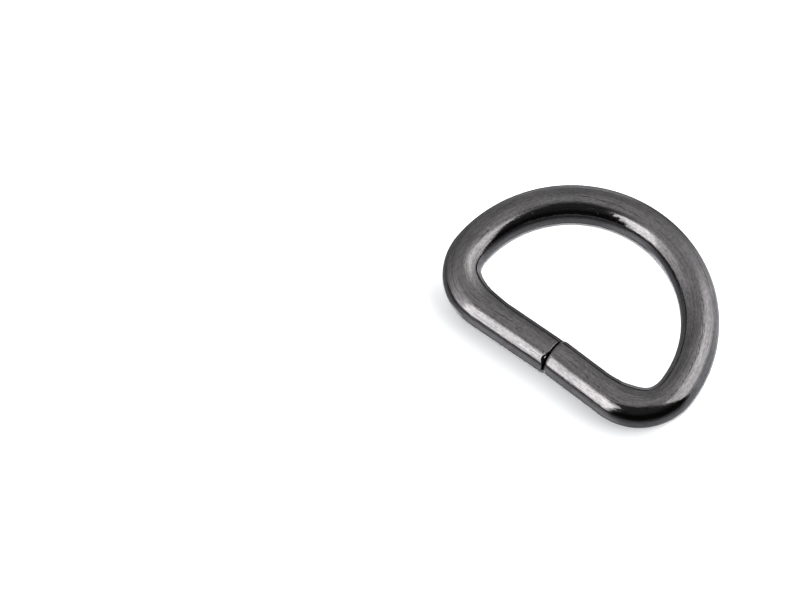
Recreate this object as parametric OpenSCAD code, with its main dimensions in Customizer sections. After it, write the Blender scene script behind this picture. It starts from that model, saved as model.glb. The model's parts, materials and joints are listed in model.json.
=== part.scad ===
// D ring bent from one length of round wire, lying flat.
// The straight side runs along X and is closed by a butt joint; the bow rises towards +Y.
// The origin is the centre of the ring's outer box, on the surface that it lies on.

/* [Inside of the ring] */
// Clear width between the two sides, for a strap of the same width
inside_w = 19.6; // [16:0.1:50]
// Clear height from the straight side to the top of the bow
inside_h = 12; // [10:0.1:30]
// Inside radius of the two corner bends
corner_inside_r = 2.35; // [1:0.05:4]

/* [Wire] */
// Diameter of the round wire
wire_d = 3.5; // [2:0.1:6]

/* [Butt joint] */
// Distance of the joint from the middle of the straight side, towards +X
joint_x = 0.7; // [-1.5:0.1:1.5]
// Gap between the two ends of the wire
joint_gap = 0.1; // [0.05:0.01:0.5]
// Slant of the cut through the wire in degrees, with its top towards -X
joint_slant = 4; // [0:0.5:10]
// Degrees by which the left end leans in towards the bow
left_lean = 0.9; // [0:0.1:3]
// Degrees by which the right end leans in towards the bow
right_lean = 2; // [0:0.1:3]
// Length along the wire of the bevel that the shears left on the left end
bevel_l = 0.5; // [0.2:0.05:1.2]
// Depth of that bevel into the wire
bevel_depth = 0.15; // [0.1:0.05:0.8]
// Place of the bevel round the wire, in degrees from the side that faces the bow, over the top
bevel_turn = 128; // [100:1:170]

/* [Hidden] */
$fn = 96;

// Radius of the corner bends, and half the width and the height of the ring, along the wire's middle
corner_r = corner_inside_r + wire_d / 2;
half_w = inside_w / 2 + wire_d / 2;
ring_h = inside_h + wire_d;
// Distance from the middle of the straight side to the centre of each corner bend
corner_x = half_w - corner_r;
// Height of the top of the bow over the centres of the corner bends
crown_rise = ring_h - corner_r;

// A low ring is closed by one arc from corner to corner, a tall one by a half circle on two upright legs
leg_l = max(0, crown_rise - half_w);
low_bow_r = (corner_x^2 + crown_rise^2 - corner_r^2) / (2 * (crown_rise - corner_r));
bow_r = leg_l > 0 ? half_w : low_bow_r;
bow_y = ring_h - bow_r;
// Where the corner bend passes into the bow or the leg, in degrees above +X
meet = leg_l > 0 ? 0 : atan2(corner_r - bow_y, corner_x);

// A ball where two lengths of wire meet makes them one; it is this much thicker than the wire
ball_over = 0.01;
ball_d = wire_d + ball_over;

// Middle of the outer box, which ends at the balls beside the straight side and at the wire of the bow
box_mid_y = (ring_h - ball_over / 2) / 2;

// Arc of wire round the origin, from one angle to another in degrees from +X
module bent_wire(radius, from, to) {
    rotate([0, 0, from])
        rotate_extrude(angle = to - from)
            translate([radius, 0])
                circle(d = wire_d);
}

// Ball on a circle round the origin, at an angle in degrees from +X
module meeting_ball(radius, at) {
    translate([radius * cos(at), radius * sin(at), 0])
        rotate([90, 0, at])
            sphere(d = ball_d);
}

// Corner bend on the +X side, bent past the square by the lean of its straight run
module corner_bend(lean) {
    translate([corner_x, corner_r, 0]) {
        bent_wire(corner_r, -90 - lean, meet);
        meeting_ball(corner_r, -90 - lean);
        meeting_ball(corner_r, meet);
    }
}

// Straight wire from the corner bend on the +X side to the joint, cut off at face_x
module straight_run(lean, face_x, slant) {
    uncut_l = corner_x - face_x + wire_d;
    difference() {
        translate([corner_x - corner_r * sin(lean), corner_r * (1 - cos(lean)), 0])
            rotate([0, -90, -lean])
                cylinder(d = wire_d, h = uncut_l);
        translate([face_x, 0, 0])
            rotate([0, -slant, 0])
                translate([-2 * uncut_l, -wire_d, -wire_d])
                    cube([2 * uncut_l, 2 * wire_d, 2 * wire_d]);
    }
}

// Block that takes the bevel off the left end, at the height that its lean gives the wire there
module bevel_block() {
    translate([joint_x - joint_gap / 2 - bevel_l, (corner_x + joint_x) * tan(left_lean), 0])
        rotate([bevel_turn - 90, 0, 0])
            translate([0, -wire_d / 2, wire_d / 2])
                rotate([0, atan2(bevel_depth, bevel_l), 0])
                    translate([-bevel_l, 0, 0])
                        cube([4 * bevel_l, wire_d, wire_d]);
}

// Right half of the straight side
module right_run() {
    straight_run(right_lean, joint_x + joint_gap / 2, joint_slant);
}

// Left half of the straight side, with its sheared bevel
module left_run() {
    difference() {
        mirror([1, 0, 0])
            straight_run(left_lean, joint_gap / 2 - joint_x, -joint_slant);
        bevel_block();
    }
}

// Upright wire between corner and bow on the +X side of a tall ring
module leg() {
    if (leg_l > 0)
        translate([half_w, corner_r, 0]) {
            rotate([-90, 0, 0])
                cylinder(d = wire_d, h = leg_l);
            translate([0, leg_l, 0])
                rotate([90, 0, 0])
                    sphere(d = ball_d);
        }
}

// Bow from corner to corner
module bow() {
    translate([0, bow_y, 0])
        bent_wire(bow_r, meet, 180 - meet);
}

// The whole ring, one solid
module wire_ring() {
    color("dimgray")
        translate([0, -box_mid_y, ball_d / 2]) {
            right_run();
            corner_bend(right_lean);
            leg();
            bow();
            mirror([1, 0, 0]) leg();
            mirror([1, 0, 0]) corner_bend(left_lean);
            left_run();
        }
}

wire_ring();
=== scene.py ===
"""Looks of a D ring bent from dark plated wire, on a pale table in a light tent."""

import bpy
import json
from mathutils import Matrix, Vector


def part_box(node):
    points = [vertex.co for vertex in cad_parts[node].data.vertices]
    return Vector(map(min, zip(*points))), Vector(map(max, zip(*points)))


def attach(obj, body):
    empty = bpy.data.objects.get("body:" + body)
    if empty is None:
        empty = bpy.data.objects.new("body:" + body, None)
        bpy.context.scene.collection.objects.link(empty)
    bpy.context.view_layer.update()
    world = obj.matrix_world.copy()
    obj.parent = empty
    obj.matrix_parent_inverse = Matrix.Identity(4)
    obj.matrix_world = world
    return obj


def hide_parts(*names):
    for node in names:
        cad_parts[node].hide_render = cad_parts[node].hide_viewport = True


bl_info = {
    "name": "Plated D ring",
    "version": (1, 0, 0),
    "blender": (4, 5, 0),
    "location": "View3D > Sidebar > D ring",
    "description": "Bends a D ring from plated wire and sets it on a table in a light tent",
    "category": "Add Mesh",
}

import json
import math

import bpy
from bpy.props import FloatProperty, FloatVectorProperty, IntProperty, PointerProperty
from mathutils import Vector, noise

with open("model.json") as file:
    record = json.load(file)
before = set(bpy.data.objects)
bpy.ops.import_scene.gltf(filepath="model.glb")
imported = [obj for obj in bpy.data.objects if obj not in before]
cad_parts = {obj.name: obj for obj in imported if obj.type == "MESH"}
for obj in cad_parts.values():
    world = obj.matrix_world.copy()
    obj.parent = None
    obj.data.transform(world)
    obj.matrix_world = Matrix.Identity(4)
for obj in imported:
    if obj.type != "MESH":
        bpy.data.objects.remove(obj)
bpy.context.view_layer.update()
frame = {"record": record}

MM = 0.001
MICRON = 0.000001
NODE = "wire_ring"
BODY = "root"
GRAIN = "wire_grain"
BAKE_MAP = "OFBake"
# Margin of the bake map, as a share of its width
BAKE_MARGIN = 0.01

MOUNTS = {mount["name"]: mount for mount in frame["record"]["mounts"]}
STRAP_BAR = MOUNTS["strap_bar"]
BOW_CROWN = MOUNTS["bow_crown"]
RING_LOW, RING_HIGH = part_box(NODE)

# The rings of vertices are this many times closer together in a stretch at each end of the wire
END_CLOSENESS = 3
END_STRETCH = 1.4 * MM
# Stretch at each end of the wire over which the slant of its face fades out
SLANT_STRETCH = 2.5 * MM
# Rubbed edge of an end: steps of its arc, and its depth as a share of its length
EDGE_STEPS = 8
EDGE_DEPTH = 0.6
# Rings of vertices on the face of an end, as shares of its radius
FACE_RINGS = (0.85, 0.65, 0.45, 0.22)

# Waves in the drawn wire, as (microns high, waves per radian round it, mm long, place in the noise)
WAVES = ((2.4, 6, 9, 0), (1.2, 15, 4, 3), (3.0, 2.2, 2.4, 7))
# Microns by which the waves lie under a true cylinder on average
WAVES_SINK = 7.0
# Torn metal of the bevel, as (share of its depth, mm along the wire, waves per radian, place in the noise)
TEAR = (0.55, 0.1, 9, 2.5)

# How steeply a dent fades away from its middle, and how many of its lengths away it has gone
DENT_FADE = 4
DENT_REACH = 1.5
# Small dents in the wire, as (mm along it, degrees round it, mm long, mm wide, microns deep)
DENTS = (
    (0.75, 97, 0.20, 0.20, 8),
    (7.8, 51, 0.70, 0.12, 14),
    (8.2, 66, 0.60, 0.10, 12),
    (8.5, 59, 0.50, 0.14, 12),
    (9.0, 55, 0.80, 0.12, 12),
    (9.6, 63, 0.50, 0.12, 10),
    (11.0, 38, 0.60, 0.14, 7),
    (16.5, 27, 0.18, 0.16, 12),
    (21.5, 16, 0.30, 0.16, 14),
    (23.8, 85, 0.16, 0.12, 12),
    (28.6, 80, 0.14, 0.14, 14),
    (29.2, 78, 0.12, 0.12, 8),
    (30.6, 75, 0.12, 0.12, 8),
    (32.9, 139, 0.50, 0.12, 12),
    (33.7, 130, 0.45, 0.12, 14),
    (33.8, 142, 0.30, 0.12, 10),
    (34.4, 125, 0.45, 0.14, 12),
    (40.5, 70, 0.14, 0.14, 8),
    (51.5, 60, 0.30, 0.20, 7),
    (54.2, 44, 0.50, 0.16, 6),
    (62.2, 112, 0.40, 0.14, 6),
    (63.2, 47, 0.12, 0.12, 24),
    (63.2, 58, 0.12, 0.12, 16),
    (63.3, 66, 0.12, 0.14, 18),
    (63.4, 112, 0.10, 0.55, 12),
)

# Swells where bending pushed metal into the inside of a corner, as (mm along it from, to, mm high)
SWELLS = (
    (4.8, 11.3, 0.34),
    (50.9, 57.8, 0.28),
)

# Scratches in the plating, as (mm along the wire to the scratch's middle, mm inwards from the wire's top,
# mm long, slope, mm of wave, mm from wave to wave)
SCRATCHES = (
    (4.6, -0.27, 6.6, -0.08, 0.02, 2.4),
    (3.2, 0.42, 3.4, -0.03, 0.01, 1.9),
    (13.6, -0.36, 4.2, 0.05, 0.03, 1.6),
    (19.4, -0.20, 8.0, 0.01, 0.07, 2.9),
    (17.2, -0.34, 5.4, -0.02, 0.04, 2.1),
    (35.2, 0.10, 7.0, -0.06, 0.03, 2.2),
    (44.2, 0.86, 0.8, 0.05, 0.01, 0.9),
    (48.3, 0.43, 2.6, 0.02, 0.02, 1.7),
    (56.2, 0.38, 1.0, -0.30, 0.04, 0.5),
    (58.0, -0.05, 3.4, 0.10, 0.03, 1.2),
    (60.0, -0.10, 1.1, -0.10, 0.17, 0.46),
)

# Share of a scratch's length, either way from its middle, up to which it has its full depth
SCRATCH_FULL = 0.35
# Share to which the oxide covers the plating in a scratch, at its fullest and at its faintest
OXIDE_FULL = 0.9
OXIDE_FAINT = 0.2

# Marks in the plating, as (marks per mm along the wire and both ways across it, detail of the noise,
# roughness of the noise, share in the streaks of colour)
MARKS = {
    "lines": ((0.22, 9.0, 9.0), 4.0, 0.6, 0.3),
    "bands": ((0.07, 2.6, 2.6), 3.0, 0.5, 0.2),
    "patches": ((0.5, 0.7, 0.7), 3.0, 0.6, 0.15),
    "dashes": ((2.6, 8.0, 8.0), 2.0, 0.5, 0.25),
    "pits": ((5.0, 5.0, 5.0), 1.0, 0.5, 0.0),
    "peel": ((3.6, 4.6, 4.6), 1.0, 0.5, 0.1),
}
# The noise fills about half of its range, so heights made from it are multiplied by this
NOISE_GAIN = 2
# Values of the noise between which the plating goes from dark to thin, the oxide from full to faint,
# the finish from dull to polished, and a pit from its floor to the plating round it
STREAK_RANGE = (0.4, 0.6)
OXIDE_RANGE = (0.4, 0.6)
POLISH_RANGE = (0.38, 0.62)
PIT_RANGE = (0.22, 0.28)

# The light tent is painted by direction, in degrees. A turn goes to the right of the way that the camera
# looks. A rise goes up from the table, or down from it to the places on the table that the wire mirrors.
# Two numbers say where something starts to change and where it has changed, for a blur from its edge. The
# four numbers of a slanted edge are the turns or rises that it runs between and the edge's place at both.
# A window is (start, full from, full to, end) and a patch of light is (window of turns, window of rises,
# radiance). A window of rises that reaches past 90 degrees is open on that side.
OPEN_BELOW = (-99, -98)
OPEN_ABOVE = (98, 99)
ANY_RISE = (*OPEN_BELOW, *OPEN_ABOVE)

# Patches on the walls and the ceiling, and where the one gives way to the other
BACK_WALL = ((-45, -5, 12, 40), (*OPEN_BELOW, 30, 60), 0.1)
RIGHT_CEILING = ((-8, 25, 60, 100), (30, 44, 72, 86), 0.22)
CEILING_EDGE = (30, 74)

# Strip light at the front left: its left edge and its foot are slanted
STRIP_LEFT = (8, 46, -137.5, -147)
STRIP_LEFT_BLUR = (-5, 5)
STRIP_RIGHT = (-121, -110)
STRIP_FOOT = (-130, -114, 0, 7)
STRIP_FOOT_BLUR = (-6, 9)
STRIP_TOP = (44, 61)

# Glow of the strip light on the left wall, which fades away from it
GLOW_LEFT = (-122, -108)
GLOW_REACH = (-110, -45)
GLOW_FOOT = (-12, 7)
GLOW_TOP = (50, 66)

# Softbox on the right
SOFTBOX_LEFT = (14, 72)
SOFTBOX_FOOT = (-24, 34)
SOFTBOX_TOP = (50, 74)

# Dark room behind the camera: its right edge is the farther right of two slanted ones
FRONT_RIGHT = (0, 58, 103, 133)
FRONT_RIGHT_FOOT = (0, 25, 106, 118)
FRONT_LEFT = (50, 66, -124, -130)
FRONT_TOP = (70, 88)
# Blur of the dark room's edges, which grows with the rise, and what its left edge has on top of that
FRONT_BLUR = (56, 66, 4, 30)
FRONT_LEFT_BLUR = 5
# Rises between which the dark room's radiance goes from the first of two shares to the second
FRONT_HEIGHTS = (20, 44)
FRONT_SHARES = (0.4, 2)

# Patches on the mirrored table: the softbox's glare, light from elsewhere, the strip's spill and the shade
# of the bar, which takes away a share
GLARE = (
    ((26, 46, 84, 130), ANY_RISE, 1.0),
    ((30, 44, 60, 82), (*OPEN_BELOW, -40, -12), 1.3),
    ((40, 56, 62, 82), (-30, 0, *OPEN_ABOVE), 2.0),
)
TABLE_LIGHT = (
    ((-32, 4, 14, 36), (-44, -22, *OPEN_ABOVE), 0.62),
    ((98, 118, 132, 165), ANY_RISE, 0.16),
    ((-160, -138, -126, -92), ANY_RISE, 0.36),
)
STRIP_SPILL = ((-145, -132, -124, -106), (-60, -24, -15, -7), 0.28)
BAR_SHADE = ((14, 19, 25, 30), ANY_RISE, 0.4)

# Bright rim on the mirrored table's left: the slanted line that it follows, its blur and its two ends
RIM = (-114, -54, -54, -72)
RIM_BLUR = (2, 9)
RIM_LEFT = (-112, -98)
RIM_RIGHT = (-60, -30)
# Turns to either side between which the mirrored table lights up towards the front, and where that ends
STEEP_FRONT = (85, 110)
STEEP_FRONT_TOP = (-70, -35)
# The mirrored table darkens at a shallow angle, but for a window of turns, and straight below the wire
SHALLOW = (-42, -8)
SHALLOW_LIT = (-100, -15, 92, 128)
STEEP = (-92, -60)
# Rises between which the mirrored table gives way to the tent, and how much lower that is on a window of
# turns on the left
TABLE_EDGE = (-12, 0)
LEFT_WALL = (-90, -76, -50, -36)
LEFT_WALL_DROP = 7


class RingSizes(bpy.types.PropertyGroup):
    """Sizes of the bent wire."""

    wire_radius: FloatProperty(
        name="Wire radius",
        description="Half the diameter of the round wire",
        default=STRAP_BAR["dims"]["r_mm"] * MM,
        unit="LENGTH",
        subtype="DISTANCE",
    )
    bar_length: FloatProperty(
        name="Bar length",
        description="Length of the straight side between its two corner bends",
        default=STRAP_BAR["dims"]["length_mm"] * MM,
        unit="LENGTH",
        subtype="DISTANCE",
    )
    middle_width: FloatProperty(
        name="Width between middles",
        description="Widest distance between the middles of the wire on the two sides",
        default=(RING_HIGH.x - RING_LOW.x) - (RING_HIGH.z - RING_LOW.z),
        unit="LENGTH",
        subtype="DISTANCE",
    )
    middle_rise: FloatProperty(
        name="Rise between middles",
        description="Distance from the middle of the straight side to the middle of the bow's top",
        default=BOW_CROWN["pos_m"][1] - STRAP_BAR["pos_m"][1],
        unit="LENGTH",
        subtype="DISTANCE",
    )
    left_lean: FloatProperty(
        name="Left lean",
        description="Angle by which the left half of the bar leans in towards the bow",
        default=math.radians(0.9),
        unit="ROTATION",
        subtype="ANGLE",
    )
    right_lean: FloatProperty(
        name="Right lean",
        description="Angle by which the right half of the bar leans in towards the bow",
        default=math.radians(2.0),
        unit="ROTATION",
        subtype="ANGLE",
    )
    joint_shift: FloatProperty(
        name="Joint shift",
        description="Distance of the butt joint from the middle of the bar, to the right",
        default=0.7 * MM,
        unit="LENGTH",
        subtype="DISTANCE",
    )
    joint_gap: FloatProperty(
        name="Joint gap",
        description="Gap between the two ends of the wire",
        default=0.1 * MM,
        unit="LENGTH",
        subtype="DISTANCE",
    )
    joint_slant: FloatProperty(
        name="Joint slant",
        description="Slant of the cut through the wire, with its top to the left",
        default=math.radians(4),
        unit="ROTATION",
        subtype="ANGLE",
    )
    right_rounding: FloatProperty(
        name="Right rounding",
        description="Length along the wire over which the edge of the right end is rubbed round",
        default=0.34 * MM,
        unit="LENGTH",
        subtype="DISTANCE",
    )
    left_rounding: FloatProperty(
        name="Left rounding",
        description="Length along the wire over which the edge of the left end is rubbed round",
        default=0.05 * MM,
        unit="LENGTH",
        subtype="DISTANCE",
    )
    bevel_length: FloatProperty(
        name="Bevel length",
        description="Length along the wire of the bevel that the shears left on the left end",
        default=0.33 * MM,
        unit="LENGTH",
        subtype="DISTANCE",
    )
    bevel_depth: FloatProperty(
        name="Bevel depth",
        description="Depth of that bevel into the wire",
        default=0.11 * MM,
        unit="LENGTH",
        subtype="DISTANCE",
    )
    bevel_turn: FloatProperty(
        name="Bevel turn",
        description="Place of the bevel round the wire, from the outer side up to the top",
        default=math.radians(52),
        unit="ROTATION",
        subtype="ANGLE",
    )
    around: IntProperty(
        name="Faces round the wire",
        description="Number of faces round the wire",
        default=144,
        min=24,
        max=200,
    )
    step: FloatProperty(
        name="Step along the wire",
        description="Length of a face along the wire, away from the joint",
        default=0.115 * MM,
        unit="LENGTH",
        subtype="DISTANCE",
    )


class PlatingLook(bpy.types.PropertyGroup):
    """Finish of the plated wire."""

    colour: FloatVectorProperty(
        name="Plating colour",
        description="Colour of the plating where it is thin",
        default=(0.204, 0.193, 0.192),
        subtype="COLOR",
        min=0,
        max=1,
    )
    dark_colour: FloatVectorProperty(
        name="Dark plating colour",
        description="Colour of the plating in its darker streaks",
        default=(0.110, 0.105, 0.107),
        subtype="COLOR",
        min=0,
        max=1,
    )
    edge_share: FloatProperty(
        name="Edge share",
        description="Share of a bare metal's reflection that the plating keeps at a grazing angle",
        default=0.62,
        min=0,
        max=1,
        subtype="FACTOR",
    )
    gloss_roughness: FloatProperty(
        name="Polished roughness",
        description="Roughness of the plating on its polished streaks",
        default=0.07,
        min=0,
        max=1,
        subtype="FACTOR",
    )
    dull_roughness: FloatProperty(
        name="Dull roughness",
        description="Roughness of the plating on its duller streaks",
        default=0.14,
        min=0,
        max=1,
        subtype="FACTOR",
    )
    line_depth: FloatProperty(
        name="Draw line depth",
        description="Depth of the fine lines that drawing left along the wire",
        default=1.1 * MICRON,
        unit="LENGTH",
        subtype="DISTANCE",
        precision=6,
    )
    band_depth: FloatProperty(
        name="Draw band depth",
        description="Depth of the wider hollows that drawing left along the wire",
        default=4.0 * MICRON,
        unit="LENGTH",
        subtype="DISTANCE",
        precision=6,
    )
    dash_depth: FloatProperty(
        name="Rub mark depth",
        description="Depth of the short marks that tumbling rubbed into the plating",
        default=1.5 * MICRON,
        unit="LENGTH",
        subtype="DISTANCE",
        precision=6,
    )
    peel_depth: FloatProperty(
        name="Peel depth",
        description="Depth of the fine orange peel all over the plating",
        default=2.6 * MICRON,
        unit="LENGTH",
        subtype="DISTANCE",
        precision=6,
    )
    pit_depth: FloatProperty(
        name="Pit depth",
        description="Depth of the small pits in the plating",
        default=3 * MICRON,
        unit="LENGTH",
        subtype="DISTANCE",
        precision=6,
    )
    scratch_depth: FloatProperty(
        name="Scratch depth",
        description="Depth of the scratches in the plating",
        default=4 * MICRON,
        unit="LENGTH",
        subtype="DISTANCE",
        precision=6,
    )
    scratch_colour: FloatVectorProperty(
        name="Scratch colour",
        description="Colour of the oxide in the scratches",
        default=(0.030, 0.028, 0.028),
        subtype="COLOR",
        min=0,
        max=1,
    )
    scratch_width: FloatProperty(
        name="Scratch width",
        description="Width of the scratches in the plating, in millimetres",
        default=0.17,
        min=0.01,
    )


class TentLight(bpy.types.PropertyGroup):
    """Light tent, table and camera. A radiance of 1 is a white table in full light."""

    view_turn: FloatProperty(
        name="View turn",
        description="Turn of the camera round the ring, from looking square at the bar",
        default=math.radians(37.304),
        unit="ROTATION",
        subtype="ANGLE",
    )
    view_rise: FloatProperty(
        name="View rise",
        description="Angle at which the camera looks down",
        default=math.radians(67),
        unit="ROTATION",
        subtype="ANGLE",
    )
    view_distance: FloatProperty(
        name="View distance",
        description="Distance of the camera from the middle of the picture on the table",
        default=1.0245,
        unit="LENGTH",
        subtype="DISTANCE",
    )
    lens: FloatProperty(
        name="Lens",
        description="Focal length of the camera in millimetres",
        default=509.9,
    )
    sensor: FloatProperty(
        name="Sensor",
        description="Width of the camera's sensor in millimetres",
        default=36.0,
    )
    aim_right: FloatProperty(
        name="Aim to the right",
        description="Distance of the picture's middle from the middle of the bar, to the camera's right",
        default=-13.1215 * MM,
        unit="LENGTH",
        subtype="DISTANCE",
    )
    aim_away: FloatProperty(
        name="Aim away",
        description="Distance of the picture's middle from the middle of the bar, away from the camera",
        default=5.9955 * MM,
        unit="LENGTH",
        subtype="DISTANCE",
    )
    wall: FloatProperty(
        name="Wall",
        description="Radiance of the tent's walls",
        default=0.47,
        min=0,
    )
    ceiling: FloatProperty(
        name="Ceiling",
        description="Radiance of the tent's ceiling",
        default=0.86,
        min=0,
    )
    strip: FloatProperty(
        name="Left strip",
        description="Radiance of the tall strip light at the front left",
        default=4.5,
        min=0,
    )
    glow: FloatProperty(
        name="Left glow",
        description="Radiance that the strip light adds to the tent's left wall",
        default=1.7,
        min=0,
    )
    softbox: FloatProperty(
        name="Right softbox",
        description="Radiance of the large softbox on the right",
        default=2.15,
        min=0,
    )
    front: FloatProperty(
        name="Dark front",
        description="Radiance of the dark room behind the camera",
        default=0.04,
        min=0,
    )
    table_near: FloatProperty(
        name="Mirrored table",
        description="Radiance of the table as the wire mirrors it",
        default=0.5,
        min=0,
    )
    table_glare: FloatProperty(
        name="Mirrored glare",
        description="Radiance that the softbox adds to the table's right part, as the wire mirrors it",
        default=0.56,
        min=0,
    )
    table_rim: FloatProperty(
        name="Mirrored rim",
        description="Radiance of the bright rim on the table's left, as the wire mirrors it",
        default=1.8,
        min=0,
    )
    table_front: FloatProperty(
        name="Mirrored front",
        description="Radiance that the table gains towards the front, where the wire mirrors it steeply",
        default=0.15,
        min=0,
    )
    shallow_share: FloatProperty(
        name="Share at a shallow angle",
        description="Share of the mirrored table's radiance that is left at a shallow angle",
        default=0.07,
        min=0,
        max=1,
        subtype="FACTOR",
    )
    steep_share: FloatProperty(
        name="Share straight below",
        description="Share of the mirrored table's radiance that is left straight below the wire",
        default=0.36,
        min=0,
        max=1,
        subtype="FACTOR",
    )
    tent_tint: FloatVectorProperty(
        name="Tint of the tent",
        description="Colour of the tent's light",
        default=(0.985, 1.0, 1.015),
        subtype="COLOR",
        min=0,
    )
    table_tint: FloatVectorProperty(
        name="Tint of the table",
        description="Colour of the mirrored table's light",
        default=(0.975, 1.0, 1.06),
        subtype="COLOR",
        min=0,
    )
    table_width: FloatProperty(
        name="Table width",
        description="Width of the square table",
        default=4.0,
        unit="LENGTH",
        subtype="DISTANCE",
    )
    table_white: FloatProperty(
        name="Table white",
        description="Share of light that the pale table gives back",
        default=0.96,
        min=0,
        max=1,
        subtype="FACTOR",
    )
    table_share: FloatProperty(
        name="Light on the table",
        description="Light that the tent throws on the table, as a multiple of what the wire mirrors",
        default=1.28,
        min=0,
        max=2,
    )
    lamp_power: FloatProperty(
        name="Lamp power",
        description="Power in watts of the spot lamp that whitens the table inside the ring",
        default=26.0,
        min=0,
    )
    lamp_size: FloatProperty(
        name="Lamp size",
        description="Width of that lamp",
        default=4 * MM,
        unit="LENGTH",
        subtype="DISTANCE",
    )
    lamp_distance: FloatProperty(
        name="Lamp distance",
        description="Distance of that lamp from the ring",
        default=0.8,
        unit="LENGTH",
        subtype="DISTANCE",
    )
    lamp_turn: FloatProperty(
        name="Lamp turn",
        description="Direction of that lamp, to the right of the way that the camera looks",
        default=math.radians(180),
        unit="ROTATION",
        subtype="ANGLE",
    )
    lamp_rise: FloatProperty(
        name="Lamp rise",
        description="Height of that lamp as an angle over the table",
        default=math.radians(75),
        unit="ROTATION",
        subtype="ANGLE",
    )
    beam_radius: FloatProperty(
        name="Beam radius",
        description="Radius on the table of that lamp's round beam",
        default=53 * MM,
        unit="LENGTH",
        subtype="DISTANCE",
    )
    beam_shift: FloatProperty(
        name="Beam shift",
        description="Distance along the bar from its middle to the middle of that beam",
        default=-4 * MM,
        unit="LENGTH",
        subtype="DISTANCE",
    )
    beam_blur: FloatProperty(
        name="Beam blur",
        description="Share of the beam's area over which its edge fades",
        default=0.15,
        min=0,
        max=1,
        subtype="FACTOR",
    )


class MiddleLine:
    """Middle line of the wire, from the right face of the joint over the bow to the left face."""

    def __init__(self, sizes):
        corner_x = sizes.bar_length / 2
        corner_r = sizes.middle_width / 2 - corner_x
        crown_rise = sizes.middle_rise - corner_r
        bow_r = (corner_x**2 + crown_rise**2 - corner_r**2) / (2 * (crown_rise - corner_r))
        meet = math.atan2(corner_r - (sizes.middle_rise - bow_r), corner_x)
        faces = (sizes.joint_shift + sizes.joint_gap / 2, -sizes.joint_shift + sizes.joint_gap / 2)
        leans = (sizes.right_lean, sizes.left_lean)
        runs = [
            (corner_x - corner_r * math.sin(lean) - face) / math.cos(lean)
            for lean, face in zip(leans, faces)
        ]
        corners = [math.pi / 2 + lean + meet for lean in leans]
        bow = math.pi - 2 * meet
        self.sections = [
            (runs[0], 0.0),
            (corners[0] * corner_r, corners[0]),
            (bow * bow_r, bow),
            (corners[1] * corner_r, corners[1]),
            (runs[1], 0.0),
        ]
        self.length = sum(length for length, _ in self.sections)
        start_rise = corner_r * (1 - math.cos(leans[0])) + runs[0] * math.sin(leans[0])
        self.start = (faces[0], STRAP_BAR["pos_m"][1] + start_rise)
        self.start_heading = -leans[0]

    def at(self, distance):
        """Place and heading at a distance along the line."""
        x, y = self.start
        heading = self.start_heading
        for length, turn in self.sections:
            walked = min(distance, length)
            turned = turn * walked / length
            chord = walked if turn == 0 else 2 * math.sin(turned / 2) * length / turn
            x += chord * math.cos(heading + turned / 2)
            y += chord * math.sin(heading + turned / 2)
            heading += turned
            distance -= walked
            if distance <= 0:
                break
        return x, y, heading


def smooth(value, low, high):
    """0 below low, 1 above high and a smooth step between."""
    share = min(max((value - low) / (high - low), 0.0), 1.0)
    return share * share * (3 - 2 * share)


def stations(length, step):
    """Distances of the rings of vertices along the wire, closer together near both ends."""
    close = step / END_CLOSENESS
    near = [close * i for i in range(int(END_STRETCH / close))]
    count = round((length - 2 * END_STRETCH) / step)
    middle = [END_STRETCH + (length - 2 * END_STRETCH) * i / count for i in range(count + 1)]
    return near + middle + [length - distance for distance in reversed(near)]


def dents_near(distance):
    """The dents that reach a place along the wire."""
    return [dent for dent in DENTS if abs(distance / MM - dent[0]) < DENT_REACH * dent[2]]


def dented(dents, distance, angle, radius):
    """Depth of the dents at a place on the wire."""
    microns = 0.0
    for along, turn, long, wide, depth in dents:
        apart = math.remainder(angle - math.radians(turn), 2 * math.pi) * radius / MM
        lengths, widths = (distance / MM - along) / long, apart / wide
        microns += depth * math.exp(-DENT_FADE * lengths**2 - DENT_FADE * widths**2)
    return MICRON * microns


def swollen(distance, angle):
    """Height of a corner's swell at a place on the wire: full halfway along it, on the inner side."""
    height = 0.0
    for start, end, high in SWELLS:
        share = min(max((distance / MM - start) / (end - start), 0.0), 1.0)
        height += high * MM * (4 * share * (1 - share)) ** 2
    return height * max(-math.cos(angle), 0.0) ** 2


def relief(distance, angle):
    """Height of the wire's surface over a true cylinder: never above it, and a few microns below."""
    ring = Vector((math.cos(angle), math.sin(angle), 0))
    microns = 0.0
    for high, often, long, seed in WAVES:
        microns += high * noise.noise(ring * often + Vector((seed, 0, distance / (long * MM))))
    return MICRON * (microns - WAVES_SINK)


def bevelled(sizes, from_left, angle):
    """Radius of the wire at an angle round it, less the sheared bevel of its left end."""
    radius = sizes.wire_radius
    if from_left < sizes.bevel_length:
        share, long, often, seed = TEAR
        torn = 1 + share * noise.noise(Vector((from_left / (long * MM), angle * often, seed)))
        plane = radius - torn * sizes.bevel_depth * (1 - from_left / sizes.bevel_length)
        across = math.cos(angle - sizes.bevel_turn)
        if radius * across > plane:
            radius = plane / across
    return radius


def end_profile(rounding):
    """Rings of an end of the wire, from its side to its middle.

    Each is (distance from the face, inset, share of the radius).
    """
    arc = [math.radians(90 * i / EDGE_STEPS) for i in range(1, EDGE_STEPS + 1)]
    depth = EDGE_DEPTH * rounding
    edge = [(rounding * (1 - math.sin(a)), depth * (1 - math.cos(a)), 1.0) for a in arc]
    return edge + [(0.0, depth, share) for share in FACE_RINGS]


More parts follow.
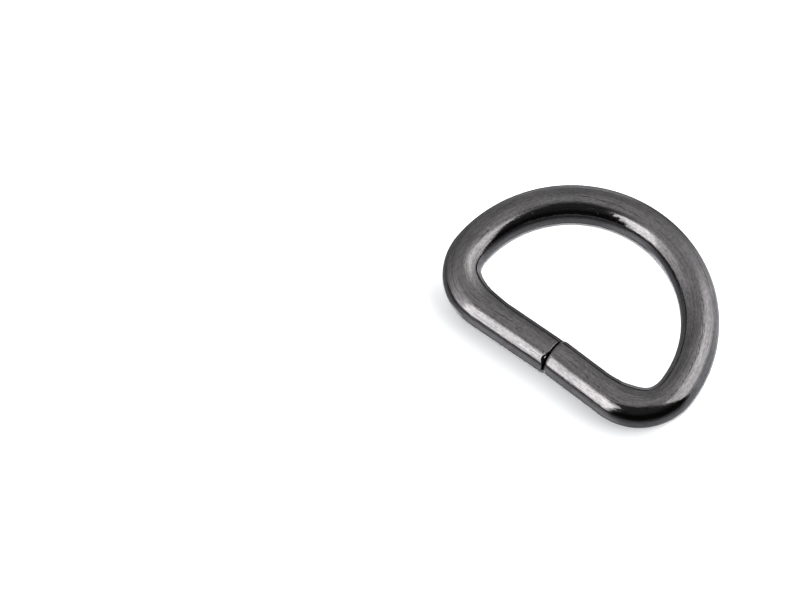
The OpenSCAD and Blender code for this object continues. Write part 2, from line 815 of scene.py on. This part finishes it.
def wire_rings(sizes):
    """Rings of vertices from the middle of the right face to that of the left one, with grain places."""
    line = MiddleLine(sizes)
    height = STRAP_BAR["pos_m"][2]
    rows = []

    def ring(along, inset, share):
        x, y, heading = line.at(along)
        out = (math.sin(heading), -math.cos(heading))
        from_left = line.length - along
        near_face = 1 - smooth(min(along, from_left), 0, SLANT_STRETCH)
        dents = dents_near(along)
        row = []
        for k in range(sizes.around):
            angle = 2 * math.pi * k / sizes.around - math.pi / 2
            radius = bevelled(sizes, from_left, angle) - dented(dents, along, angle, sizes.wire_radius)
            radius = (radius + swollen(along, angle) + relief(along, angle) - inset) * share
            side, up = radius * math.cos(angle), radius * math.sin(angle)
            slant = -(math.tan(sizes.joint_slant) * up + out[0] * side) / math.cos(heading)
            forward = slant * near_face
            place = Vector((
                x + out[0] * side + math.cos(heading) * forward,
                y + out[1] * side + math.sin(heading) * forward,
                height + up,
            ))
            row.append((place, Vector((along / MM, side / MM, up / MM))))
        rows.append(row)

    for from_face, inset, share in reversed(end_profile(sizes.right_rounding)):
        ring(from_face, inset, share)
    for along in stations(line.length, sizes.step):
        if sizes.right_rounding <= along <= line.length - sizes.left_rounding:
            ring(along, 0.0, 1.0)
    for from_face, inset, share in end_profile(sizes.left_rounding):
        ring(line.length - from_face, inset, share)
    return rows


def unrolled(rows, corners, around):
    """Bake map of the wire's skin, for faces whose corners are (ring, turn).

    The skin is unrolled, cut in half and laid in two rows.
    """
    middles = [sum((place for place, _ in row), Vector()) / around for row in (rows[0], rows[-1])]
    path = [middles[0], *(row[0][0] for row in rows), middles[1]]
    walked = [0.0]
    for before, after in zip(path, path[1:]):
        walked.append(walked[-1] + (after - before).length)
    half = walked[-1] / 2
    spots = []
    for face in corners:
        upper = walked[face[0][0] + 1] >= half
        for ring, turn in face:
            along = (walked[ring + 1] - upper * half) / half
            spots.append(BAKE_MARGIN + along * (1 - 2 * BAKE_MARGIN))
            spots.append(BAKE_MARGIN + upper * 0.5 + turn / around * (0.5 - 2 * BAKE_MARGIN))
    return spots


def wire_mesh(name, sizes):
    """Mesh of the bent wire, with grain places and a bake map."""
    rows = wire_rings(sizes)
    around = sizes.around
    places = [place for row in rows for place, _ in row]
    grains = [grain for row in rows for _, grain in row]
    first, last = len(places), len(places) + 1
    for row in (rows[0], rows[-1]):
        places.append(sum((place for place, _ in row), Vector()) / around)
        grains.append(sum((grain for _, grain in row), Vector()) / around)
    faces, corners = [], []
    for i in range(len(rows) - 1):
        for k in range(around):
            a, b = i * around + k, i * around + (k + 1) % around
            faces.append((a, a + around, b + around, b))
            corners.append(((i, k), (i + 1, k), (i + 1, k + 1), (i, k + 1)))
    end = len(rows) - 1
    for k in range(around):
        after = (k + 1) % around
        faces.append((k, after, first))
        corners.append(((0, k), (0, k + 1), (-1, k + 0.5)))
        faces.append((end * around + after, end * around + k, last))
        corners.append(((end, k + 1), (end, k), (end + 1, k + 0.5)))
    mesh = bpy.data.meshes.new(name)
    mesh.from_pydata(places, [], faces)
    grain = mesh.attributes.new(GRAIN, "FLOAT_VECTOR", "POINT")
    grain.data.foreach_set("vector", [value for g in grains for value in g])
    bake = mesh.uv_layers.new(name=BAKE_MAP)
    bake.uv.foreach_set("vector", unrolled(rows, corners, around))
    mesh.shade_smooth()
    mesh.update()
    return mesh


class Nodes:
    """Adds and links the nodes of one shader tree."""

    def __init__(self, owner):
        owner.use_nodes = True
        self.tree = owner.node_tree
        self.tree.nodes.clear()

    def add(self, kind, inputs=None, **settings):
        """Node of a kind, whose inputs are values or other nodes' outputs."""
        node = self.tree.nodes.new("ShaderNode" + kind)
        for key, value in settings.items():
            setattr(node, key, value)
        for key, value in (inputs or {}).items():
            if isinstance(value, bpy.types.NodeSocket):
                self.tree.links.new(value, node.inputs[key])
            else:
                node.inputs[key].default_value = value
        return node

    def math(self, operation, first, second=0.0):
        """Output of a Math node."""
        return self.add("Math", {0: first, 1: second}, operation=operation).outputs[0]

    def less(self, first, second):
        """Output of the first less the second."""
        return self.math("SUBTRACT", first, second)

    def product(self, *factors):
        """Output of the factors multiplied together."""
        result = factors[0]
        for factor in factors[1:]:
            result = self.math("MULTIPLY", result, factor)
        return result

    def total(self, *terms):
        """Output of the terms added up."""
        result = terms[0]
        for term in terms[1:]:
            result = self.math("ADD", result, term)
        return result

    def blend(self, share, first, second):
        """Value between two values."""
        return self.add("Mix", {0: share, 2: first, 3: second}, data_type="FLOAT").outputs[0]

    def mix(self, share, first, second):
        """Colour between two colours, each a plain one or another node's output."""
        ends = [end if isinstance(end, bpy.types.NodeSocket) else (*end, 1) for end in (first, second)]
        return self.add("Mix", {0: share, 6: ends[0], 7: ends[1]}, data_type="RGBA").outputs[2]

    def ramp(self, value, low, high, to_low=0.0, to_high=1.0, kind="LINEAR"):
        """Value that goes from to_low at low to to_high at high, and is level beyond them."""
        inputs = {"Value": value, "From Min": low, "From Max": high, "To Min": to_low, "To Max": to_high}
        return self.add("MapRange", inputs, interpolation_type=kind).outputs[0]

    def step(self, value, low, high, to_low=0.0, to_high=1.0):
        """Smooth step of a value, from to_low at low to to_high at high."""
        return self.ramp(value, low, high, to_low, to_high, "SMOOTHSTEP")

    def fall(self, value, low, high):
        """Smooth step of a value, from 1 at low to 0 at high."""
        return self.step(value, low, high, 1, 0)

    def window(self, value, start, full, waning, end):
        """Value that is 1 from full to waning, and fades smoothly to 0 at start and at end."""
        return self.product(self.step(value, start, full), self.fall(value, waning, end))

    def grain(self, place, scale, **inputs):
        """Noise over a place, with a scale of its own along each axis."""
        scaled = self.add("VectorMath", {0: place, 1: scale}, operation="MULTIPLY").outputs[0]
        return self.add("TexNoise", {"Vector": scaled, "Scale": 1.0, **inputs}).outputs["Fac"]


def scratch(nodes, along, inwards, width, mark):
    """Share of its full depth to which a wavy scratch cuts the plating."""
    middle, offset, long, slope, wave, pitch = mark
    from_middle = nodes.less(along, middle)
    sway = nodes.product(nodes.math("SINE", nodes.product(from_middle, 2 * math.pi / pitch)), wave)
    centre = nodes.total(nodes.product(from_middle, slope), sway, offset)
    apart = nodes.math("ABSOLUTE", nodes.less(inwards, centre))
    length = nodes.fall(nodes.math("ABSOLUTE", from_middle), SCRATCH_FULL * long, long / 2)
    return nodes.product(nodes.fall(apart, 0, width / 2), length)


def plating(look, wire_radius):
    """Dark plating over drawn wire, with fine lines along it, rub marks, scratches and pits."""
    material = bpy.data.materials.new("gunmetal_plating")
    nodes = Nodes(material)
    place = nodes.add("Attribute", attribute_name=GRAIN).outputs["Vector"]
    along, side, up = nodes.add("SeparateXYZ", {0: place}).outputs
    marks = {
        name: nodes.grain(place, scale, Detail=detail, Roughness=roughness)
        for name, (scale, detail, roughness, _) in MARKS.items()
    }

    inwards = nodes.product(nodes.math("ARCTAN2", nodes.product(side, -1), up), wire_radius / MM)
    cuts = nodes.total(*(scratch(nodes, along, inwards, look.scratch_width, mark) for mark in SCRATCHES))
    shares = {name: share for name, (*_, share) in MARKS.items() if share > 0}
    streaks = nodes.total(*(nodes.product(marks[name], share) for name, share in shares.items()))
    colour = nodes.mix(nodes.step(streaks, *STREAK_RANGE), look.dark_colour, look.colour)
    oxide = nodes.product(cuts, nodes.step(marks["dashes"], *OXIDE_RANGE, OXIDE_FULL, OXIDE_FAINT))
    colour = nodes.mix(oxide, colour, look.scratch_colour)
    rubbed = nodes.product(nodes.total(marks["lines"], marks["patches"]), 0.5)
    roughness = nodes.step(rubbed, *POLISH_RANGE, look.dull_roughness, look.gloss_roughness)

    height = nodes.total(
        nodes.product(marks["lines"], NOISE_GAIN * look.line_depth),
        nodes.product(marks["bands"], NOISE_GAIN * look.band_depth),
        nodes.product(marks["dashes"], NOISE_GAIN * look.dash_depth),
        nodes.product(marks["peel"], NOISE_GAIN * look.peel_depth),
        nodes.product(nodes.step(marks["pits"], *PIT_RANGE), look.pit_depth),
        nodes.product(cuts, -look.scratch_depth),
    )
    bump = nodes.add("Bump", {"Strength": 1.0, "Distance": 1.0, "Height": height})
    shader = nodes.add("BsdfPrincipled", {
        "Base Color": colour,
        "Metallic": 1.0,
        "Roughness": roughness,
        "Specular Tint": (*[look.edge_share] * 3, 1),
        "Normal": bump.outputs[0],
    })
    nodes.add("OutputMaterial", {"Surface": shader.outputs[0]})
    return material


def matt(name, share):
    """Plain matt white that gives back a share of its light."""
    material = bpy.data.materials.new(name)
    nodes = Nodes(material)
    shader = nodes.add("BsdfPrincipled", {
        "Base Color": (share, share, share, 1),
        "Roughness": 0.9,
        "Specular IOR Level": 0.1,
    })
    nodes.add("OutputMaterial", {"Surface": shader.outputs[0]})
    return material


def patch(nodes, turn, rise, light):
    """Radiance of one patch of light."""
    turns, rises, radiance = light
    foot, top = rises[:2], rises[2:]
    return nodes.product(
        nodes.window(turn, *turns),
        nodes.step(rise, *foot),
        nodes.fall(rise, *top),
        radiance,
    )


def dark_front(nodes, turn, rise):
    """Share of the dark room at the tent's open front. Its edges are sharp low down and soft high up."""
    edges = nodes.ramp(rise, *FRONT_RIGHT), nodes.ramp(rise, *FRONT_RIGHT_FOOT)
    past_right = nodes.less(turn, nodes.math("MAXIMUM", *edges))
    past_left = nodes.less(nodes.ramp(rise, *FRONT_LEFT), turn)
    blur = nodes.ramp(rise, *FRONT_BLUR)
    right = nodes.step(nodes.math("DIVIDE", past_right, blur), -1, 1)
    left = nodes.step(nodes.math("DIVIDE", past_left, nodes.total(blur, FRONT_LEFT_BLUR)), -1, 1)
    return nodes.product(nodes.math("MAXIMUM", right, left), nodes.fall(rise, *FRONT_TOP))


def tent_above(nodes, tent, turn, rise):
    """Radiance of the tent over the table: walls and ceiling, two lights and the dark room at its front."""
    walls = nodes.total(
        nodes.step(rise, *CEILING_EDGE, tent.wall, tent.ceiling),
        patch(nodes, turn, rise, BACK_WALL),
        patch(nodes, turn, rise, RIGHT_CEILING),
    )
    strip = nodes.product(
        nodes.step(nodes.less(turn, nodes.ramp(rise, *STRIP_LEFT)), *STRIP_LEFT_BLUR),
        nodes.step(turn, *STRIP_RIGHT, tent.strip, 0),
        nodes.step(nodes.less(rise, nodes.ramp(turn, *STRIP_FOOT)), *STRIP_FOOT_BLUR),
        nodes.fall(rise, *STRIP_TOP),
    )
    near_strip = nodes.ramp(turn, *GLOW_REACH, 1, 0)
    glow = nodes.product(
        nodes.step(turn, *GLOW_LEFT),
        nodes.product(near_strip, near_strip, tent.glow),
        nodes.step(rise, *GLOW_FOOT),
        nodes.fall(rise, *GLOW_TOP),
    )
    softbox = nodes.product(
        nodes.step(turn, *SOFTBOX_LEFT, 0, tent.softbox),
        nodes.step(rise, *SOFTBOX_FOOT),
        nodes.fall(rise, *SOFTBOX_TOP),
    )
    front = nodes.step(rise, *FRONT_HEIGHTS, *(share * tent.front for share in FRONT_SHARES))
    room = nodes.blend(dark_front(nodes, turn, rise), nodes.total(walls, softbox), front)
    return nodes.total(room, strip, glow)


def tent_below(nodes, tent, turn, rise):
    """Radiance of the table as the wire mirrors it: dark at a shallow angle, but for a window of turns."""
    rim_away = nodes.math("ABSOLUTE", nodes.less(rise, nodes.step(turn, *RIM)))
    rim = nodes.product(
        nodes.fall(rim_away, *RIM_BLUR),
        nodes.step(turn, *RIM_LEFT),
        nodes.fall(turn, *RIM_RIGHT),
        tent.table_rim,
    )
    steep_front = nodes.product(
        nodes.ramp(nodes.math("ABSOLUTE", turn), *STEEP_FRONT),
        nodes.fall(rise, *STEEP_FRONT_TOP),
        tent.table_front,
    )
    glare = nodes.total(*(patch(nodes, turn, rise, light) for light in GLARE))
    level = nodes.total(
        nodes.product(glare, tent.table_glare),
        *(patch(nodes, turn, rise, light) for light in TABLE_LIGHT),
        rim,
        steep_front,
        tent.table_near,
    )
    darker = nodes.ramp(rise, *SHALLOW, 1, tent.shallow_share)
    shaded = nodes.product(
        level,
        nodes.blend(nodes.window(turn, *SHALLOW_LIT), darker, 1.0),
        nodes.less(1.0, patch(nodes, turn, rise, BAR_SHADE)),
        nodes.step(rise, *STEEP, tent.steep_share, 1),
    )
    return nodes.total(shaded, patch(nodes, turn, rise, STRIP_SPILL))


def tent_world(tent):
    """Light tent all round the ring, with the mirrored table below."""
    world = bpy.data.worlds.new("light_tent")
    nodes = Nodes(world)
    way = nodes.add("TexCoord").outputs["Generated"]
    turned = nodes.add("VectorRotate", {"Vector": way, "Angle": -tent.view_turn}, rotation_type="Z_AXIS")
    right, away, up = nodes.add("SeparateXYZ", {0: turned.outputs[0]}).outputs
    turn = nodes.math("DEGREES", nodes.math("ARCTAN2", right, away))
    rise = nodes.math("DEGREES", nodes.math("ARCSINE", up))

    drop = nodes.product(nodes.window(turn, *LEFT_WALL), LEFT_WALL_DROP)
    over_table = nodes.step(nodes.total(rise, drop), *TABLE_EDGE)
    below, above = tent_below(nodes, tent, turn, rise), tent_above(nodes, tent, turn, rise)
    radiance = nodes.blend(over_table, below, above)
    tint = nodes.mix(over_table, tent.table_tint, tent.tent_tint)
    ray = nodes.add("LightPath").outputs
    share = nodes.blend(ray["Is Diffuse Ray"], 1.0, tent.table_share)
    mirrored = nodes.add("Background", {"Color": tint, "Strength": nodes.product(radiance, share)})
    white = nodes.add("Background", {"Color": (1, 1, 1, 1), "Strength": 1.0})
    seen = {0: ray["Is Camera Ray"], 1: mirrored.outputs[0], 2: white.outputs[0]}
    nodes.add("OutputWorld", {"Surface": nodes.add("MixShader", seen).outputs[0]})
    world.cycles.sampling_method = "NONE"
    return world


def view_axes(tent):
    """Ways to the right of the camera and away from it, both level."""
    right = Vector((math.cos(tent.view_turn), math.sin(tent.view_turn), 0))
    away = Vector((-math.sin(tent.view_turn), math.cos(tent.view_turn), 0))
    return right, away


def aim_camera(tent):
    """Camera at the photograph's angle."""
    right, away = view_axes(tent)
    bar = Vector((0, STRAP_BAR["pos_m"][1], 0))
    target = bar + right * tent.aim_right + away * tent.aim_away
    back = Vector((0, 0, 1)) * math.sin(tent.view_rise) - away * math.cos(tent.view_rise)
    camera = bpy.data.objects.new("camera", bpy.data.cameras.new("camera"))
    camera.data.sensor_width = tent.sensor
    camera.data.lens = tent.lens
    camera.location = target + back * tent.view_distance
    camera.rotation_euler = back.to_track_quat("Z", "Y").to_euler()
    bpy.context.scene.collection.objects.link(camera)
    bpy.context.scene.camera = camera


def hang_lamp(tent):
    """Spot lamp that whitens the table inside the ring. Its beam ends under the bar.

    The wire doesn't mirror it.
    """
    right, away = view_axes(tent)
    level = right * math.sin(tent.lamp_turn) + away * math.cos(tent.lamp_turn)
    way = level * math.cos(tent.lamp_rise) + Vector((0, 0, 1)) * math.sin(tent.lamp_rise)
    light = bpy.data.lights.new("table_lamp", "SPOT")
    light.shadow_soft_size = tent.lamp_size / 2
    light.spot_size = 2 * math.atan(tent.beam_radius / tent.lamp_distance)
    light.spot_blend = tent.beam_blur
    light.energy = tent.lamp_power
    beam_middle = Vector((tent.beam_shift, STRAP_BAR["pos_m"][1] + tent.beam_radius, 0))
    lamp = bpy.data.objects.new("table_lamp", light)
    lamp.location = way * tent.lamp_distance
    lamp.rotation_euler = (lamp.location - beam_middle).to_track_quat("Z", "Y").to_euler()
    lamp.visible_glossy = False
    bpy.context.scene.collection.objects.link(lamp)


def lay_table(tent):
    """Wide pale table. The wire mirrors the table of the light tent in its place."""
    half = tent.table_width / 2
    corners = [(-half, -half, 0), (half, -half, 0), (half, half, 0), (-half, half, 0)]
    mesh = bpy.data.meshes.new("table_top")
    mesh.from_pydata(corners, [], [(0, 1, 2, 3)])
    mesh.materials.append(matt("pale_table", tent.table_white))
    table = bpy.data.objects.new("table_top", mesh)
    bpy.context.scene.collection.objects.link(table)
    table.visible_glossy = False
    table.visible_shadow = False


class DRING_OT_wire(bpy.types.Operator):
    """Bend the plated wire to the D ring"""

    bl_idname = "dring.wire"
    bl_label = "Bend the wire"

    def execute(self, context):
        sizes = context.scene.dring_sizes
        mesh = wire_mesh("bent_wire", sizes)
        mesh.materials.append(plating(context.scene.dring_plating, sizes.wire_radius))
        wire = bpy.data.objects.new("bent_wire", mesh)
        context.scene.collection.objects.link(wire)
        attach(wire, BODY)
        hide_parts(NODE)
        return {"FINISHED"}


class DRING_OT_stage(bpy.types.Operator):
    """Lay the pale table, hang the light tent round it and aim the camera"""

    bl_idname = "dring.stage"
    bl_label = "Set the table and the light"

    def execute(self, context):
        tent = context.scene.dring_tent
        lay_table(tent)
        hang_lamp(tent)
        aim_camera(tent)
        context.scene.world = tent_world(tent)
        context.scene.view_settings.view_transform = "Standard"
        return {"FINISHED"}


class DRING_PT_panel(bpy.types.Panel):
    """The steps that make the D ring and its table"""

    bl_idname = "DRING_PT_panel"
    bl_label = "D ring"
    bl_space_type = "VIEW_3D"
    bl_region_type = "UI"
    bl_category = "D ring"

    def draw(self, context):
        for operator in OPERATORS:
            self.layout.operator(operator.bl_idname)


GROUPS = {"dring_sizes": RingSizes, "dring_plating": PlatingLook, "dring_tent": TentLight}
OPERATORS = (DRING_OT_wire, DRING_OT_stage)


def register():
    """Registers the settings, the operators and the panel."""
    for name, group in GROUPS.items():
        bpy.utils.register_class(group)
        setattr(bpy.types.Scene, name, PointerProperty(type=group))
    for item in (*OPERATORS, DRING_PT_panel):
        bpy.utils.register_class(item)


def unregister():
    """Takes the panel, the operators and the settings out again."""
    for item in (DRING_PT_panel, *reversed(OPERATORS)):
        bpy.utils.unregister_class(item)
    for name, group in reversed(list(GROUPS.items())):
        delattr(bpy.types.Scene, name)
        bpy.utils.unregister_class(group)


def main():
    """Registers the add-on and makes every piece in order."""
    register()
    bpy.ops.dring.wire()
    bpy.ops.dring.stage()
    bpy.context.view_layer.update()


if __name__ == "__main__":
    main()
